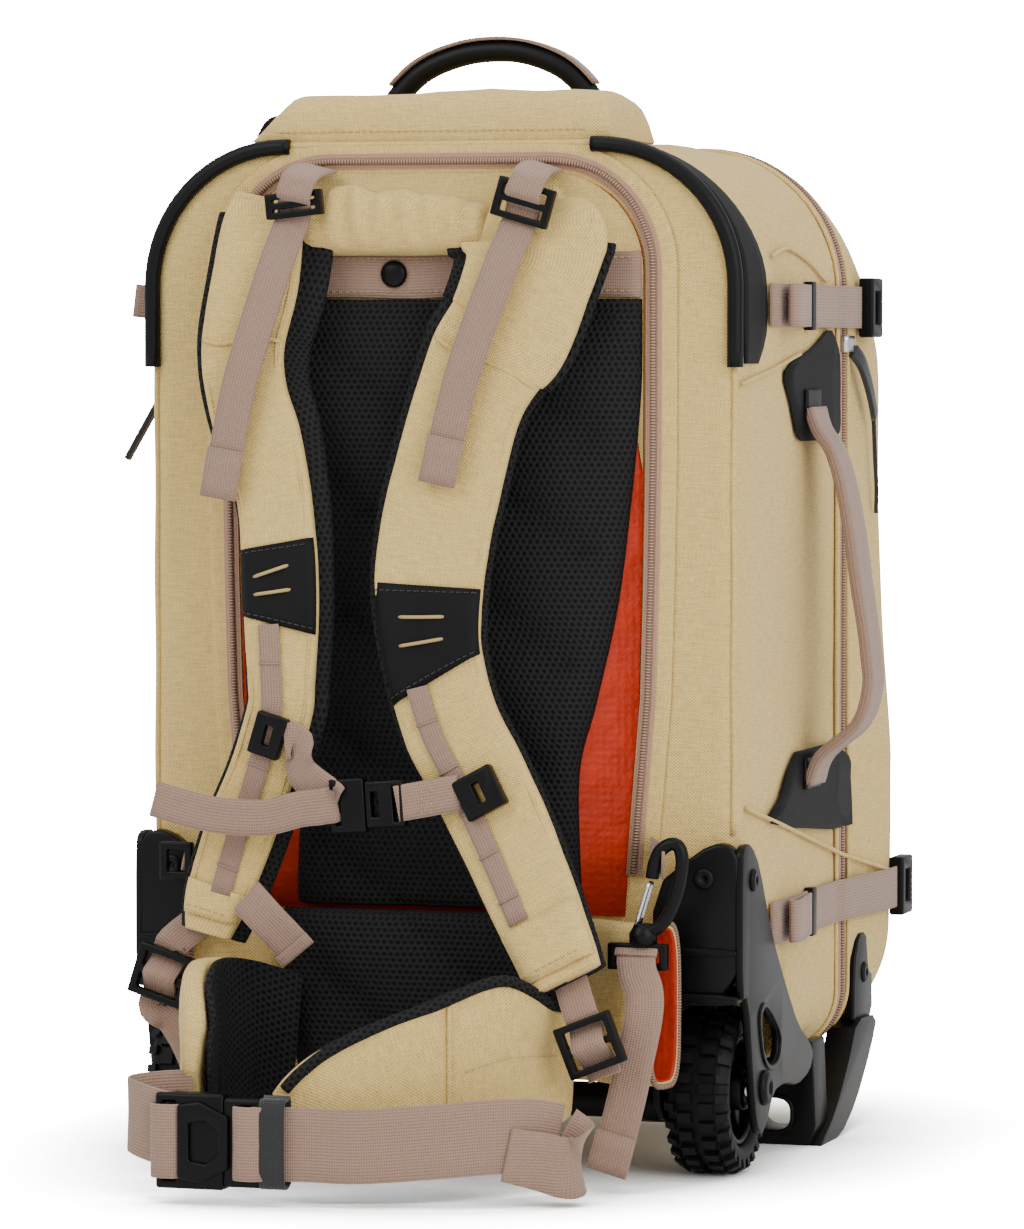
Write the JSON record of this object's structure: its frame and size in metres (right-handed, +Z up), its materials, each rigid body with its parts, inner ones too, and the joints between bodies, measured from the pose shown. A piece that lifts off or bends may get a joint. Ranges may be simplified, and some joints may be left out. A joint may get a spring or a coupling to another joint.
{
  "type": "wheeled backpack",
  "caption": "Soft wheeled travel pack with a fastened shoulder harness and hip belt, rubber corner guards, a padded top flap, off-road wheels in housings and standing feet.",
  "frame": {"origin": "middle of the underside of the object's box, on the floor", "axes": "+Z up; the shoulder harness looks along -Y; +X runs across the pack, to the right of the picture"},
  "size_m": [0.4124, 0.5352, 0.6523],
  "materials": {
    "canvas": "woven",
    "webbing": "ribbed",
    "zip_tape": "woven",
    "lining": "smooth",
    "spacer_mesh": "mesh",
    "plastic": "satin",
    "rubber": "satin",
    "tyre": "matte",
    "steel": "satin"
  },
  "bodies": {
    "pack": {"axle_beam": "plastic", "back_pad": "spacer_mesh", "belt_sleeve": "canvas", "chest_buckle_socket": "plastic", "chest_buckle_tongue": "plastic", "chest_slider_left": "plastic", "chest_slider_right": "plastic", "chest_webbing_left": "webbing", "chest_webbing_right": "webbing", "compression_buckle_lower_left": "plastic", "compression_buckle_lower_right": "plastic", "compression_buckle_upper_left": "plastic", "compression_buckle_upper_right": "plastic", "compression_strap_lower": "webbing", "compression_strap_upper": "webbing", "corner_guard_left": "rubber", "corner_guard_right": "rubber", "foot_left": "plastic", "foot_right": "plastic", "front_panel": "canvas", "grab_handle": "rubber", "harness_backing": "lining", "harness_band": "webbing", "harness_zip": "zip_tape", "hip_buckle_socket": "plastic", "hip_buckle_tongue": "plastic", "hip_loop": "webbing", "hip_webbing": "webbing", "hip_wing_left": "canvas", "hip_wing_right": "canvas", "hook_loop": "webbing", "hook_swivel": "plastic", "lifter_buckle_left": "plastic", "lifter_buckle_right": "plastic", "lifter_webbing_left": "webbing", "lifter_webbing_right": "webbing", "lower_buckle_left": "plastic", "lower_buckle_right": "plastic", "lower_tail_left": "webbing", "lower_tail_right": "webbing", "lower_webbing_left": "webbing", "lower_webbing_right": "webbing", "lumbar_pad": "spacer_mesh", "main_zip": "zip_tape", "pack_shell": "canvas", "shoulder_strap_left": "canvas", "shoulder_strap_right": "canvas", "side_handle": "webbing", "snap_hook": "plastic", "strap_lining_left": "spacer_mesh", "strap_lining_right": "spacer_mesh", "top_flap": "canvas", "wheel_housing_left": "plastic", "wheel_housing_right": "plastic", "yoke": "canvas"},
    "wheel_left": {"tyre_left": "tyre", "hub_left": "plastic"},
    "wheel_right": {"tyre_right": "tyre", "hub_right": "plastic"},
    "hook_gate_body": {"hook_gate": "steel"}
  },
  "joints": [
    {"name": "wheel_left_spin", "type": "hinge", "parent": "pack", "child": "wheel_left", "pos_m": [-0.1723, -0.0546, 0.048], "axis": [1, 0, 0], "continuous": true},
    {"name": "wheel_right_spin", "type": "hinge", "parent": "pack", "child": "wheel_right", "pos_m": [0.1397, -0.0546, 0.048], "axis": [1, 0, 0], "continuous": true},
    {"name": "hook_gate_hinge", "type": "hinge", "parent": "pack", "child": "hook_gate_body", "pos_m": [0.1162, -0.1346, 0.1492], "axis": [0, 1, 0], "range_deg": [0, 20], "stiffness_Nm_per_rad": 0.01, "springref_deg": -11.46}
  ]
}
